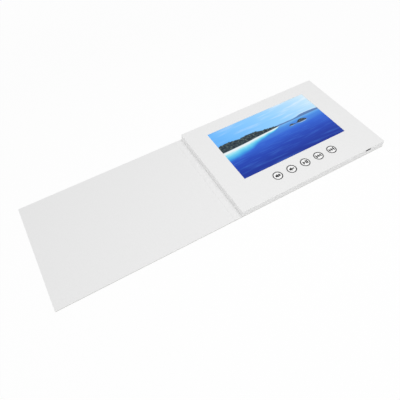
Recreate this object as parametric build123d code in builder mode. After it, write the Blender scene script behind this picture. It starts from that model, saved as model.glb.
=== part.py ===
from build123d import *
import os

os.makedirs("parts", exist_ok=True)

# An LCD video brochure, lying open: a thick panel with the screen on the right, and a thin
# cover leaf on the left that folds over it along two creases. X runs from the cover to the
# panel, Y from the front edge to the back edge, Z up. The origin is in the middle of the
# spine strip, on the underside. All sizes are in millimetres.

# ---- Driving dimensions ----

# screen: the lit area, the card that laps it, and the card left round its window
active_width = 153.6
active_height = 90.0
window_lap = 0.55
window_side_margin = 28.75
window_back_margin = 19.3
window_front_margin = 39.8

# card stock
wrap_thickness = 0.35
board_thickness = 0.60
lining_thickness = 0.25
face_thickness = 0.60
panel_corner_radius = 1.2
cover_corner_radius = 1.0
fold_radius = 0.70
glue_flap_width = 7.0
mitre_slit = 0.4

# creases
crease_width = 0.90
crease_slit = 0.10
fold_clearance = 0.10
closed_gap = 0.30

# screen module: a steel tray that holds the backlight and the glass
tray_sheet = 0.30
backlight_thickness = 1.70
glass_thickness = 1.40
border_side = 5.0
border_back = 4.0
border_front = 6.0
tray_corner_radius = 1.0
tape_thickness = 0.20
tape_width = 3.0
flex_width = 20.0
flex_from_module_side = 0.8
flex_thickness = 0.15
flex_bend_radius = 0.5
flex_lead_out = 0.5
flex_lead_in = 0.8
connector_height = 1.2
connector_depth = 4.0
connector_side = 1.0
connector_setback = 1.0

# buttons
key_count = 5
key_pitch = 20.2
keys_below_window = 16.5
key_diameter = 13.0
key_edge_radius = 0.15
key_flange_width = 1.0
key_flange_thickness = 0.50
key_travel = 0.30
key_hole_gap = 0.15
key_roof_gap = 0.15
switch_size = 6.0
switch_corner = 0.8
switch_bore_depth = 1.0
plunger_diameter = 3.5
plunger_gap = 0.05

# circuit boards and chips
pcb_thickness = 1.0
pcb_corner_radius = 1.0
board_to_module = 2.25
main_board_from_right = 4.0
main_board_from_front = 1.0
key_board_margin = 6.0
main_chip_size = 10.0
main_chip_height = 0.9
main_chip_from_left = 11.0
main_chip_from_front = 12.0
memory_length = 8.0
memory_depth = 6.0
memory_height = 0.8
memory_from_right = 19.0
memory_from_front = 15.0
chip_taper = 5
ribbon_thickness = 0.2
ribbon_width = 8.0
ribbon_lap = 2.5
ribbon_rise = 1.0
ribbon_bend_radius = 2.0

# charging socket, micro-USB type B
port_from_right = 25.9
port_notch_width = 8.6
port_notch_radius = 0.4
socket_width = 7.5
socket_depth = 5.2
socket_chamfer = 0.75
socket_sheet = 0.25
socket_setback = 0.10
socket_lip = 0.25
socket_roof_gap = 0.15
tongue_width = 3.8
tongue_thickness = 0.6
tongue_drop = 0.45
tongue_setback = 0.9
tongue_block_depth = 1.6
contact_count = 5
contact_pitch = 0.65
contact_width = 0.3
contact_thickness = 0.08
contact_setback = 0.3

# battery, a flat pouch cell with its protection board on the sealed end
battery_length = 70.0
battery_depth = 50.0
battery_thickness = 4.0
battery_edge_radius = 1.6
battery_corner_radius = 2.0
battery_from_left = 50.0
battery_from_front = 50.0
battery_roof_gap = 0.35
battery_seal_thickness = 0.4
battery_board_length = 4.0
battery_board_depth = 46.0
battery_board_thickness = 1.2

# speaker, facing the base
speaker_diameter = 28.0
speaker_from_right = 50.0
speaker_from_front = 104.0
speaker_roof_gap = 0.25
speaker_rim_width = 2.2
speaker_rim_height = 1.5
speaker_cup_diameter = 17.0
speaker_sheet = 0.5
speaker_magnet_diameter = 13.0
speaker_magnet_height = 1.7
cone_thickness = 0.2
cone_setback = 0.5
cone_depth = 0.7
cone_dome_diameter = 9.0
cone_dome_rise = 0.5

# lid sensor on the main board, and the magnet in the cover that closes over it
magnet_diameter = 10.0
magnet_thickness = 0.5
magnet_pocket_gap = 0.2
sensor_length = 3.0
sensor_depth = 1.8
sensor_height = 1.0
sensor_from_right = 8.0
sensor_from_front = 20.0

# leads
lead_diameter = 1.0
lead_pitch = 1.6
lead_bend_radius = 1.4
lead_turn_radius = 3.0
lead_lap = 1.5
lead_pad_reach = 4.0
lead_pair_spacing = 4.0

# play between pieces that are laid in beside each other
foam_gap = 0.2
pocket_gap = 0.3
bay_margin = 1.0
seat_gap = 0.05

# ---- Levels and places that follow from them ----

window_width = active_width - 2 * window_lap
window_height = active_height - 2 * window_lap
panel_length = window_width + 2 * window_side_margin
panel_depth = window_back_margin + window_height + window_front_margin
cover_length = panel_length

base_top = wrap_thickness + board_thickness
foam_top = base_top + battery_thickness + battery_roof_gap
board_top = foam_top + pcb_thickness
glass_bottom = foam_top + tray_sheet + backlight_thickness
module_top = glass_bottom + glass_thickness
face_bottom = module_top + tape_thickness
panel_height = face_bottom + face_thickness

cover_thickness = base_top + lining_thickness
pivot_height = cover_thickness - crease_width / 2 + fold_clearance
spine_length = panel_height + closed_gap + cover_thickness - crease_width - 2 * pivot_height
flat_length = cover_length + spine_length + 2 * crease_width + panel_length

panel_right = flat_length / 2
panel_left = panel_right - panel_length
panel_middle = (panel_left + panel_right) / 2
panel_front = -panel_depth / 2
panel_back = panel_depth / 2
base_crease = panel_left - crease_width / 2
spine_right = base_crease - crease_width / 2
spine_left = spine_right - spine_length
cover_crease = spine_left - crease_width / 2
cover_right = cover_crease - crease_width / 2
cover_left = cover_right - cover_length

inner_length = panel_length - 2 * face_thickness
inner_depth = panel_depth - 2 * face_thickness
flap_top = base_top + face_thickness

window_y = panel_back - window_back_margin - window_height / 2
module_width = active_width + 2 * border_side
module_height = active_height + border_back + border_front
module_y = window_y + (border_back - border_front) / 2
module_front = module_y - module_height / 2
module_right = panel_middle + module_width / 2

key_y = window_y - window_height / 2 - keys_below_window
key_flange_radius = key_diameter / 2 + key_flange_width
key_flange_top = face_bottom - key_roof_gap
key_flange_bottom = key_flange_top - key_flange_thickness
switch_top = key_flange_bottom - key_travel - seat_gap
key_places = [
    (panel_middle + (place - (key_count - 1) / 2) * key_pitch, key_y) for place in range(key_count)
]

boards_back = module_front - board_to_module
key_board_length = (key_count - 1) * key_pitch + 2 * key_board_margin
key_board_right = panel_middle + key_board_length / 2
key_board_left = panel_middle - key_board_length / 2
key_board_depth = 2 * (boards_back - key_y)
flex_x = module_right - flex_from_module_side - flex_width / 2
connector_right = flex_x + flex_width / 2 + connector_side
connector_left = flex_x - flex_width / 2 - connector_side
main_board_left = connector_left - bay_margin - ribbon_lap
main_board_right = panel_right - main_board_from_right
main_board_front = panel_front + main_board_from_front

port_x = panel_right - port_from_right
socket_mouth = panel_front + socket_setback
socket_back = socket_mouth + socket_depth
socket_height = face_bottom - board_top - socket_roof_gap

battery_x = panel_left + battery_from_left + battery_length / 2
battery_y = panel_front + battery_from_front + battery_depth / 2
battery_right = battery_x + battery_length / 2
battery_board_right = battery_right + battery_board_length
speaker_x = panel_right - speaker_from_right
speaker_y = panel_front + speaker_from_front

sensor_x = panel_right - sensor_from_right
sensor_y = panel_front + sensor_from_front
magnet_x = cover_right - (sensor_x - panel_left)

lead_level = base_top + battery_seal_thickness + battery_board_thickness + lead_diameter / 2
lead_rise_y = boards_back + lead_diameter / 2 + pocket_gap
lead_pad_level = board_top + lead_diameter / 2 + seat_gap
battery_lead_x = connector_right + bay_margin + (lead_diameter + lead_pitch) / 2
speaker_lead_x = battery_lead_x + lead_pair_spacing


def finish(piece, name):
    """Name a finished piece and write it to its own file."""
    piece.part.label = name
    export_step(piece.part, f"parts/{name}.step")


def front_plane(y):
    """An upright plane across the width at depth y. Extruding by a minus amount goes back."""
    return Plane.XZ.offset(-y)


def between(left, right, front, back):
    """Inside a sketch, the centre of the space between four edges."""
    return Locations(((left + right) / 2, (front + back) / 2))


def card_sheet(left, right, bottom, thickness, round_left=0, round_right=0):
    """One ply of card over the full depth, with its outer corners rounded."""
    with BuildPart() as sheet:
        with BuildSketch(Plane.XY.offset(bottom)):
            with between(left, right, panel_front, panel_back):
                Rectangle(right - left, panel_depth)
            if round_left:
                fillet(vertices().group_by(Axis.X)[0], radius=round_left)
            if round_right:
                fillet(vertices().group_by(Axis.X)[-1], radius=round_right)
        extrude(amount=thickness)
    return sheet


# ---- The card: base, spine strip and cover leaf ----
# The outer wrap all but meets at each crease. The boards stop short of it on both sides.

base_wrap = card_sheet(
    base_crease + crease_slit / 2, panel_right, 0, wrap_thickness, round_right=panel_corner_radius
)
finish(base_wrap, "base_wrap")

base_board = card_sheet(
    panel_left, panel_right, wrap_thickness, board_thickness, round_right=panel_corner_radius
)
finish(base_board, "base_board")

spine_wrap = card_sheet(
    cover_crease + crease_slit / 2, base_crease - crease_slit / 2, 0, wrap_thickness
)
finish(spine_wrap, "spine_wrap")

spine_board = card_sheet(spine_left, spine_right, wrap_thickness, board_thickness)
finish(spine_board, "spine_board")

spine_lining = card_sheet(spine_left, spine_right, base_top, lining_thickness)
finish(spine_lining, "spine_lining")

cover_wrap = card_sheet(
    cover_left, cover_crease - crease_slit / 2, 0, wrap_thickness, round_left=cover_corner_radius
)
finish(cover_wrap, "cover_wrap")

with BuildPart() as cover_board:
    with BuildSketch(Plane.XY.offset(wrap_thickness)):
        with between(cover_left, cover_right, panel_front, panel_back):
            Rectangle(cover_length, panel_depth)
        fillet(vertices().group_by(Axis.X)[0], radius=cover_corner_radius)
        with Locations((magnet_x, sensor_y)):
            Circle(magnet_diameter / 2 + magnet_pocket_gap, mode=Mode.SUBTRACT)
    extrude(amount=board_thickness)
finish(cover_board, "cover_board")

cover_lining = card_sheet(
    cover_left, cover_right, base_top, lining_thickness, round_left=cover_corner_radius
)
finish(cover_lining, "cover_lining")

with BuildPart() as cover_magnet:
    with BuildSketch(Plane.XY.offset(wrap_thickness)):
        with Locations((magnet_x, sensor_y)):
            Circle(magnet_diameter / 2)
    extrude(amount=magnet_thickness)
finish(cover_magnet, "cover_magnet")

# ---- The face card, folded down into four walls with glue flaps turned in at their feet ----

with BuildPart() as face_card:
    with BuildSketch(Plane.XY.offset(base_top)):
        with Locations((panel_middle, 0)):
            RectangleRounded(panel_length, panel_depth, panel_corner_radius)
    extrude(amount=panel_height - base_top)
    # the folds along the four top edges
    fillet(faces().sort_by(Axis.Z)[-1].edges(), radius=fold_radius)
    # the hollow above the glue flaps
    with BuildSketch(Plane.XY.offset(flap_top)):
        with Locations((panel_middle, 0)):
            RectangleRounded(inner_length, inner_depth, panel_corner_radius - face_thickness)
    extrude(amount=face_bottom - flap_top, mode=Mode.SUBTRACT)
    # the opening between the glue flaps, with a mitred slit at each corner
    with BuildSketch(Plane.XY.offset(base_top)):
        with Locations((panel_middle, 0)):
            Rectangle(inner_length - 2 * glue_flap_width, inner_depth - 2 * glue_flap_width)
            with GridLocations(inner_length - glue_flap_width, inner_depth - glue_flap_width, 2, 2):
                Rectangle(2**0.5 * glue_flap_width - mitre_slit, mitre_slit, rotation=45)
    extrude(amount=face_thickness, mode=Mode.SUBTRACT)
    # the screen window
    with BuildSketch(Plane.XY.offset(face_bottom)):
        with Locations((panel_middle, window_y)):
            Rectangle(window_width, window_height)
    extrude(amount=face_thickness, mode=Mode.SUBTRACT)
    # the button holes
    with BuildSketch(Plane.XY.offset(face_bottom)):
        with Locations(*key_places):
            Circle(key_diameter / 2 + key_hole_gap)
    extrude(amount=face_thickness, mode=Mode.SUBTRACT)
    # the notch for the charging socket, from the board up to the face
    with BuildSketch(front_plane(panel_front)):
        with Locations((port_x, (board_top + face_bottom) / 2)):
            Rectangle(port_notch_width, face_bottom - board_top)
        fillet(vertices().group_by(Axis.Y)[0], radius=port_notch_radius)
    extrude(amount=-face_thickness, mode=Mode.SUBTRACT)
finish(face_card, "face_card")

# ---- The foam that fills the panel ----

channel_width = 2 * lead_pitch + lead_diameter
channel_left = battery_lead_x - lead_pitch / 2 - bay_margin
channel_right = speaker_lead_x + lead_pitch / 2 + bay_margin
channel_floor = lead_level - lead_diameter / 2 - seat_gap

with BuildPart() as lower_foam:
    # first the part between the glue flaps, then the part that lies over them
    with BuildSketch(Plane.XY.offset(base_top)):
        with Locations((panel_middle, 0)):
            Rectangle(
                inner_length - 2 * (glue_flap_width + foam_gap),
                inner_depth - 2 * (glue_flap_width + foam_gap),
            )
    extrude(amount=foam_top - base_top)
    with BuildSketch(Plane.XY.offset(flap_top)):
        with Locations((panel_middle, 0)):
            Rectangle(inner_length - 2 * foam_gap, inner_depth - 2 * foam_gap)
    extrude(amount=foam_top - flap_top)
    # pockets for the battery with its board, and for the speaker
    with BuildSketch(Plane.XY.offset(base_top)):
        with Locations((battery_x + battery_board_length / 2, battery_y)):
            Rectangle(
                battery_length + battery_board_length + 2 * pocket_gap,
                battery_depth + 2 * pocket_gap,
            )
        with Locations((speaker_x, speaker_y)):
            Circle(speaker_diameter / 2 + pocket_gap)
    extrude(amount=foam_top - base_top, mode=Mode.SUBTRACT)
    # channels for the leads: out to the side, then forward to the main board
    with BuildSketch(Plane.XY.offset(channel_floor)):
        with Locations(((battery_board_right + channel_right) / 2, battery_y)):
            Rectangle(channel_right - battery_board_right, channel_width)
        with Locations(((speaker_x + channel_right) / 2, speaker_y)):
            Rectangle(channel_right - speaker_x, channel_width)
        with between(channel_left, channel_right, boards_back, speaker_y):
            Rectangle(channel_right - channel_left, speaker_y - boards_back)
    extrude(amount=foam_top - channel_floor, mode=Mode.SUBTRACT)
finish(lower_foam, "lower_foam")

first_key_x = panel_middle - (key_count - 1) / 2 * key_pitch
key_bay_left = first_key_x - key_flange_radius - bay_margin
key_bay_front = key_y - max(key_board_depth / 2, key_flange_radius) - bay_margin
main_bay_left = main_board_left - bay_margin
main_bay_right = main_board_right + bay_margin

with BuildPart() as upper_foam:
    with BuildSketch(Plane.XY.offset(foam_top)):
        with Locations((panel_middle, 0)):
            Rectangle(inner_length - 2 * foam_gap, inner_depth - 2 * foam_gap)
        with Locations((panel_middle, module_y)):
            Rectangle(
                module_width + 2 * pocket_gap, module_height + 2 * pocket_gap, mode=Mode.SUBTRACT
            )
        # the bay of the key board, and that of the main board, open at the front for the socket
        with between(key_bay_left, main_bay_left, key_bay_front, module_front):
            Rectangle(
                main_bay_left - key_bay_left, module_front - key_bay_front, mode=Mode.SUBTRACT
            )
        with between(main_bay_left, main_bay_right, panel_front, module_front):
            Rectangle(
                main_bay_right - main_bay_left, module_front - panel_front, mode=Mode.SUBTRACT
            )
    extrude(amount=face_bottom - foam_top)
finish(upper_foam, "upper_foam")

# ---- The screen module ----

flex_level = (glass_bottom + module_top) / 2
connector_back = boards_back - connector_setback

with BuildPart() as screen_tray:
    with BuildSketch(Plane.XY.offset(foam_top)):
        with Locations((panel_middle, module_y)):
            RectangleRounded(module_width, module_height, tray_corner_radius)
    extrude(amount=module_top - foam_top)
    with BuildSketch(Plane.XY.offset(foam_top + tray_sheet)):
        with Locations((panel_middle, module_y)):
            RectangleRounded(
                module_width - 2 * tray_sheet,
                module_height - 2 * tray_sheet,
                tray_corner_radius - tray_sheet,
            )
    extrude(amount=module_top - foam_top - tray_sheet, mode=Mode.SUBTRACT)
    # the slot in the rim that lets the flex out
    with BuildSketch(front_plane(module_front)):
        with Locations((flex_x, flex_level)):
            Rectangle(flex_width + 2 * pocket_gap, flex_thickness + 2 * foam_gap)
    extrude(amount=-tray_sheet, mode=Mode.SUBTRACT)
finish(screen_tray, "screen_tray")


def module_plate(bottom, thickness):
    """A plate that fills the tray of the screen module."""
    inset = tray_sheet + seat_gap
    with BuildPart() as plate:
        with BuildSketch(Plane.XY.offset(bottom)):
            with Locations((panel_middle, module_y)):
                RectangleRounded(
                    module_width - 2 * inset, module_height - 2 * inset, tray_corner_radius - inset
                )
        extrude(amount=thickness)
    return plate


backlight = module_plate(foam_top + tray_sheet, backlight_thickness)
finish(backlight, "backlight")

screen_glass = module_plate(glass_bottom, glass_thickness)
finish(screen_glass, "screen_glass")

with BuildPart() as screen_tape:
    with BuildSketch(Plane.XY.offset(module_top)):
        with Locations((panel_middle, module_y)):
            Rectangle(module_width, module_height)
            Rectangle(
                module_width - 2 * tape_width, module_height - 2 * tape_width, mode=Mode.SUBTRACT
            )
    extrude(amount=tape_thickness)
finish(screen_tape, "screen_tape")

# the flex leaves the edge of the glass and drops into its connector on the main board
connector_slot_level = board_top + connector_height / 2

with BuildPart() as screen_flex:
    with BuildSketch(Plane.YZ.offset(flex_x - flex_width / 2)):
        with BuildLine():
            FilletPolyline(
                (module_front + tray_sheet + seat_gap, flex_level),
                (module_front - flex_lead_out, flex_level),
                (connector_back + flex_lead_in, connector_slot_level),
                (connector_back, connector_slot_level),
                radius=flex_bend_radius,
            )
        trace(line_width=flex_thickness)
    extrude(amount=flex_width)
finish(screen_flex, "screen_flex")

with BuildPart() as screen_connector:
    with BuildSketch(Plane.XY.offset(board_top)):
        with Locations((flex_x, connector_back - connector_depth / 2)):
            Rectangle(flex_width + 2 * connector_side, connector_depth)
    extrude(amount=connector_height)
    latch_edge = faces().sort_by(Axis.Z)[-1].edges().sort_by(Axis.Y)[0]
    chamfer(latch_edge, length=connector_height / 3)
finish(screen_connector, "screen_connector")

# ---- The circuit boards, and what stands on them ----


def circuit_board(left, right, front, back):
    """A board with rounded corners, lying on the lower foam."""
    with BuildPart() as board:
        with BuildSketch(Plane.XY.offset(foam_top)):
            with between(left, right, front, back):
                RectangleRounded(right - left, back - front, pcb_corner_radius)
        extrude(amount=pcb_thickness)
    return board


def chip(x, y, length, depth, height):
    """A chip on the main board, its sides drawn in a little towards the top."""
    with BuildPart() as package:
        with BuildSketch(Plane.XY.offset(board_top)):
            with Locations((x, y)):
                Rectangle(length, depth)
        extrude(amount=height, taper=chip_taper)
    return package


main_board = circuit_board(main_board_left, main_board_right, main_board_front, boards_back)
finish(main_board, "main_board")

key_board = circuit_board(
    key_board_left, key_board_right, key_y - key_board_depth / 2, key_y + key_board_depth / 2
)
finish(key_board, "key_board")

main_chip = chip(
    main_board_left + main_chip_from_left,
    panel_front + main_chip_from_front,
    main_chip_size,
    main_chip_size,
    main_chip_height,
)
finish(main_chip, "main_chip")

memory_chip = chip(
    panel_right - memory_from_right,
    panel_front + memory_from_front,
    memory_length,
    memory_depth,
    memory_height,
)
finish(memory_chip, "memory_chip")

lid_sensor = chip(sensor_x, sensor_y, sensor_length, sensor_depth, sensor_height)
finish(lid_sensor, "lid_sensor")

# the ribbon from the key board bows up a little on its way to the main board
ribbon_level = board_top + ribbon_thickness / 2

with BuildPart() as key_ribbon:
    with BuildSketch(front_plane(key_y + ribbon_width / 2)):
        with BuildLine():
            FilletPolyline(
                (key_board_right - ribbon_lap, ribbon_level),
                (key_board_right - ribbon_lap / 2, ribbon_level),
                ((key_board_right + main_board_left) / 2, ribbon_level + ribbon_rise),
                (main_board_left + ribbon_lap / 2, ribbon_level),
                (main_board_left + ribbon_lap, ribbon_level),
                radius=ribbon_bend_radius,
            )
        trace(line_width=ribbon_thickness)
    extrude(amount=ribbon_width)
finish(key_ribbon, "key_ribbon")

# ---- The charging socket: a steel shell with flared lips, a tongue and its contacts ----


def socket_outline(y, inset):
    """The outline of the socket at depth y, wide at the top, its lower corners cut away."""
    with BuildSketch(front_plane(y), mode=Mode.PRIVATE) as outline:
        with Locations((port_x, board_top + socket_height / 2)):
            Rectangle(socket_width - 2 * inset, socket_height - 2 * inset)
        chamfer(vertices().group_by(Axis.Y)[0], length=socket_chamfer)
    return outline.sketch


tongue_top = board_top + socket_height - socket_sheet - tongue_drop
tongue_bottom = tongue_top - tongue_thickness
tongue_front = socket_mouth + tongue_setback
tongue_block_front = socket_back - socket_sheet - tongue_block_depth
shell_outline = socket_outline(socket_mouth, 0)
mouth_outline = socket_outline(socket_mouth, socket_sheet)
block_outline = socket_outline(tongue_block_front, socket_sheet + seat_gap)

with BuildPart() as usb_socket:
    extrude(shell_outline, amount=-socket_depth)
    # the lips, flared out on both sides of the mouth
    with BuildSketch(front_plane(socket_mouth)):
        with Locations((port_x, board_top + (socket_height + socket_chamfer) / 2)):
            Rectangle(socket_width + 2 * socket_lip, socket_height - socket_chamfer)
    extrude(amount=-socket_sheet)
    extrude(mouth_outline, amount=-(socket_depth - socket_sheet), mode=Mode.SUBTRACT)
finish(usb_socket, "usb_socket")

with BuildPart() as usb_tongue:
    # the block that closes the back of the shell, and the tongue that the plug goes round
    extrude(block_outline, amount=-tongue_block_depth)
    with BuildSketch(front_plane(tongue_front)):
        with Locations((port_x, (tongue_top + tongue_bottom) / 2)):
            Rectangle(tongue_width, tongue_thickness)
    extrude(amount=-(tongue_block_front - tongue_front))
finish(usb_tongue, "usb_tongue")

with BuildPart() as usb_contacts:
    with BuildSketch(front_plane(tongue_front + contact_setback)):
        with Locations((port_x, tongue_bottom - contact_thickness / 2)):
            with GridLocations(contact_pitch, 0, contact_count, 1):
                Rectangle(contact_width, contact_thickness)
    extrude(amount=-(tongue_block_front - tongue_front - contact_setback))
finish(usb_contacts, "usb_contacts")

# ---- The buttons: round caps, each on the plunger of a tactile switch ----

with BuildPart() as key_switches:
    with BuildSketch(Plane.XY.offset(board_top)):
        with Locations(*key_places):
            Rectangle(switch_size, switch_size)
        chamfer(vertices(), length=switch_corner)
    extrude(amount=switch_top - board_top)
    with BuildSketch(Plane.XY.offset(switch_top)):
        with Locations(*key_places):
            Circle(plunger_diameter / 2 + plunger_gap)
    extrude(amount=-switch_bore_depth, mode=Mode.SUBTRACT)
finish(key_switches, "key_switches")


def key_cap(place):
    """A round cap, flush with the face, kept in by a flange under the card."""
    with BuildPart() as cap:
        with BuildSketch(Plane.XY.offset(key_flange_bottom)):
            with Locations(place):
                Circle(key_flange_radius)
        extrude(amount=key_flange_thickness)
        with BuildSketch(Plane.XY.offset(key_flange_top)):
            with Locations(place):
                Circle(key_diameter / 2)
        extrude(amount=panel_height - key_flange_top)
        fillet(faces().sort_by(Axis.Z)[-1].edges(), radius=key_edge_radius)
    return cap


def key_plunger(place):
    """The plunger of one switch, standing clear of the floor of its bore by the travel."""
    foot = switch_top - switch_bore_depth + key_travel + seat_gap
    with BuildPart() as plunger:
        with BuildSketch(Plane.XY.offset(foot)):
            with Locations(place):
                Circle(plunger_diameter / 2)
        extrude(amount=key_flange_bottom - foot)
    return plunger


key_names = ["volume_up", "volume_down", "play_pause", "previous", "next"]
for key_name, key_place in zip(key_names, key_places):
    finish(key_cap(key_place), f"{key_name}_key")
    finish(key_plunger(key_place), f"{key_name}_plunger")

# ---- The battery ----

with BuildPart() as battery:
    with BuildSketch(Plane.XY.offset(base_top)):
        with Locations((battery_x, battery_y)):
            RectangleRounded(battery_length, battery_depth, battery_corner_radius)
    extrude(amount=battery_thickness)
    fillet(faces().sort_by(Axis.Z)[-1].edges(), radius=battery_edge_radius)
    # the sealed end of the pouch, which carries the board
    with BuildSketch(Plane.XY.offset(base_top)):
        with between(battery_x, battery_board_right, battery_y, battery_y):
            Rectangle(battery_board_right - battery_x, battery_board_depth)
    extrude(amount=battery_seal_thickness)
finish(battery, "battery")

with BuildPart() as battery_board:
    with BuildSketch(Plane.XY.offset(base_top + battery_seal_thickness)):
        with between(battery_right, battery_board_right, battery_y, battery_y):
            Rectangle(battery_board_length, battery_board_depth)
    extrude(amount=battery_board_thickness)
finish(battery_board, "battery_board")

# ---- The speaker: a basket with a magnet cup, the magnet, and the cone ----

speaker_plane = Plane(origin=(speaker_x, speaker_y, base_top), x_dir=(1, 0, 0), z_dir=(0, -1, 0))
speaker_axis = Axis((speaker_x, speaker_y, base_top), (0, 0, 1))
speaker_height = foam_top - base_top - speaker_roof_gap
rim_outside = speaker_diameter / 2
rim_inside = rim_outside - speaker_rim_width
cup_outside = speaker_cup_diameter / 2
cup_inside = cup_outside - speaker_sheet

with BuildPart() as speaker_basket:
    with BuildSketch(speaker_plane):
        with BuildLine():
            Polyline(
                (rim_inside, 0),
                (rim_outside, 0),
                (rim_outside, speaker_rim_height),
                (cup_outside, speaker_rim_height + speaker_sheet),
                (cup_outside, speaker_height),
                (0, speaker_height),
                (0, speaker_height - speaker_sheet),
                (cup_inside, speaker_height - speaker_sheet),
                (cup_inside, speaker_rim_height),
                (rim_inside, speaker_rim_height - speaker_sheet / 2),
                close=True,
            )
        make_face()
    revolve(axis=speaker_axis)
finish(speaker_basket, "speaker_basket")

with BuildPart() as speaker_magnet:
    with BuildSketch(Plane.XY.offset(base_top + speaker_height - speaker_sheet)):
        with Locations((speaker_x, speaker_y)):
            Circle(speaker_magnet_diameter / 2)
    extrude(amount=-speaker_magnet_height)
finish(speaker_magnet, "speaker_magnet")

cone_edge = rim_inside - seat_gap
dome_edge = cone_dome_diameter / 2
cone_foot = cone_setback + cone_depth
dome_crown = cone_foot - cone_dome_rise

with BuildPart() as speaker_cone:
    with BuildSketch(speaker_plane):
        with BuildLine():
            TangentArc((0, dome_crown), (dome_edge, cone_foot), tangent=(1, 0))
            Line((dome_edge, cone_foot), (cone_edge, cone_setback))
            Line((cone_edge, cone_setback), (cone_edge, cone_setback + cone_thickness))
            Line((cone_edge, cone_setback + cone_thickness), (dome_edge, cone_foot + cone_thickness))
            TangentArc(
                (0, dome_crown + cone_thickness), (dome_edge, cone_foot + cone_thickness), tangent=(1, 0)
            )
            Line((0, dome_crown + cone_thickness), (0, dome_crown))
        make_face()
    revolve(axis=speaker_axis)
finish(speaker_cone, "speaker_cone")

# ---- The leads, in their channels and up behind the main board to its pads ----


def lead(start, column):
    """A round lead: out to its column, forward, up past the board's edge, and onto its pad."""
    start_x, start_y = start
    points = [
        (start_x, start_y, lead_level),
        (column, start_y, lead_level),
        (column, lead_rise_y, lead_level),
        (column, lead_rise_y, lead_pad_level),
        (column, lead_rise_y - lead_pad_reach, lead_pad_level),
    ]
    with BuildPart() as wire:
        with BuildLine() as route:
            FilletPolyline(*points, radius=[lead_turn_radius, lead_bend_radius, lead_bend_radius])
        with BuildSketch(Plane(origin=points[0], z_dir=(1, 0, 0))):
            Circle(lead_diameter / 2)
        sweep(path=route.line)
    return wire


half_pitch = lead_pitch / 2
battery_lead_start = battery_board_right - lead_lap
speaker_lead_start = speaker_x + rim_outside - lead_lap

for side, pole in ((1, "positive"), (-1, "negative")):
    battery_lead = lead(
        (battery_lead_start, battery_y + side * half_pitch), battery_lead_x + side * half_pitch
    )
    finish(battery_lead, f"battery_lead_{pole}")
    speaker_lead = lead(
        (speaker_lead_start, speaker_y + side * half_pitch), speaker_lead_x + side * half_pitch
    )
    finish(speaker_lead, f"speaker_lead_{pole}")
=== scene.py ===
import math

import bmesh
import bpy
from mathutils import Matrix, Quaternion, Vector


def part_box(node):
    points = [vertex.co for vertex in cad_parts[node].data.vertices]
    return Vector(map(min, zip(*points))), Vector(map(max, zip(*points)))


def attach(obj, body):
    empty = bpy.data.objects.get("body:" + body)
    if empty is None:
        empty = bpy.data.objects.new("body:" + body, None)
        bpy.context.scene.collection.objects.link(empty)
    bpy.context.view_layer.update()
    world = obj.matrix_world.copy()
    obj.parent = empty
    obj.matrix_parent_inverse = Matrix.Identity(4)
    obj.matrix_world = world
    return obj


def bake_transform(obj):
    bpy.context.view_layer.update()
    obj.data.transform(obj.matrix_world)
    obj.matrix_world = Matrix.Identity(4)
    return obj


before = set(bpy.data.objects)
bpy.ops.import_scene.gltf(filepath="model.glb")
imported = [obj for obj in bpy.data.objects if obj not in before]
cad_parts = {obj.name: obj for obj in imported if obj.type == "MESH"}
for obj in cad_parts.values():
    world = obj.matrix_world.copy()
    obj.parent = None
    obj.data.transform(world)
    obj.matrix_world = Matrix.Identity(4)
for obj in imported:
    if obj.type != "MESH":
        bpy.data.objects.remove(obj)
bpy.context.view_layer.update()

# A video brochure lying open on a pale table: a thick card panel with a lit screen, five round
# buttons and a charging socket, and a thin cover leaf that folds over it along two creases.
# Everything is in metres. X runs from the cover to the panel, Y to the back edge, Z up.

MM = 0.001

# places on the part, as the frame gives them
panel_low, panel_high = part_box("face_card")
spine_low, spine_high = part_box("spine_lining")
cover_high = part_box("cover_lining")[1]
spine_wrap_low, spine_wrap_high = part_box("spine_wrap")
base_wrap_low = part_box("base_wrap")[0]
glass_low, glass_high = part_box("screen_glass")
cone_low, cone_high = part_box("speaker_cone")
KEYS = ["volume_up", "volume_down", "play_pause", "previous", "next"]

# ---- Camera ----

CAMERA_PLACE = Vector((-0.15105, -0.29665, 0.38394))
CAMERA_TARGET = Vector((-0.02366, -0.02706, 0.0))
CAMERA_ROLL = math.radians(-5.158)
CAMERA_LENS = 37.186
CAMERA_SENSOR = 36
NEAREST_SEEN = 0.01
FARTHEST_SEEN = 50

camera_data = bpy.data.cameras.new("camera")
camera_data.lens = CAMERA_LENS
camera_data.sensor_width = CAMERA_SENSOR
camera_data.clip_start = NEAREST_SEEN
camera_data.clip_end = FARTHEST_SEEN
camera = bpy.data.objects.new("camera", camera_data)
bpy.context.scene.collection.objects.link(camera)
camera.location = CAMERA_PLACE
camera.rotation_mode = "QUATERNION"
aim = (CAMERA_TARGET - CAMERA_PLACE).to_track_quat("-Z", "Y")
camera.rotation_quaternion = aim @ Quaternion((0, 0, 1), CAMERA_ROLL)
bpy.context.scene.camera = camera

# ---- Materials ----

# sockets of a Mix node that mixes colours
FACTOR, FIRST, SECOND, MIXED = 0, 6, 7, 2

# how a grain shows: the noise at which it is darkest and palest, its finer octaves and the share
# that each has of the one before it, and the strength of its bump
GRAIN_LOW, GRAIN_HIGH = 0.35, 0.65
GRAIN_DETAIL = 4.0
GRAIN_FINENESS = 0.6
GRAIN_BUMP = 0.6


def linear(hex_colour):
    """An sRGB hex colour as the linear numbers that a shader takes."""
    levels = [int(hex_colour[place : place + 2], 16) / 255 for place in (1, 3, 5)]
    return [x / 12.92 if x <= 0.04045 else ((x + 0.055) / 1.055) ** 2.4 for x in levels] + [1.0]


def grains(size):
    """The scale of a noise or of cells whose spots are this size in millimetres."""
    return 1 / (size * MM)


def lines(pitch):
    """The scale of a wave whose lines are this far apart in millimetres: it turns once in 2 pi / 20."""
    return math.tau / 20 / (pitch * MM)


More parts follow.
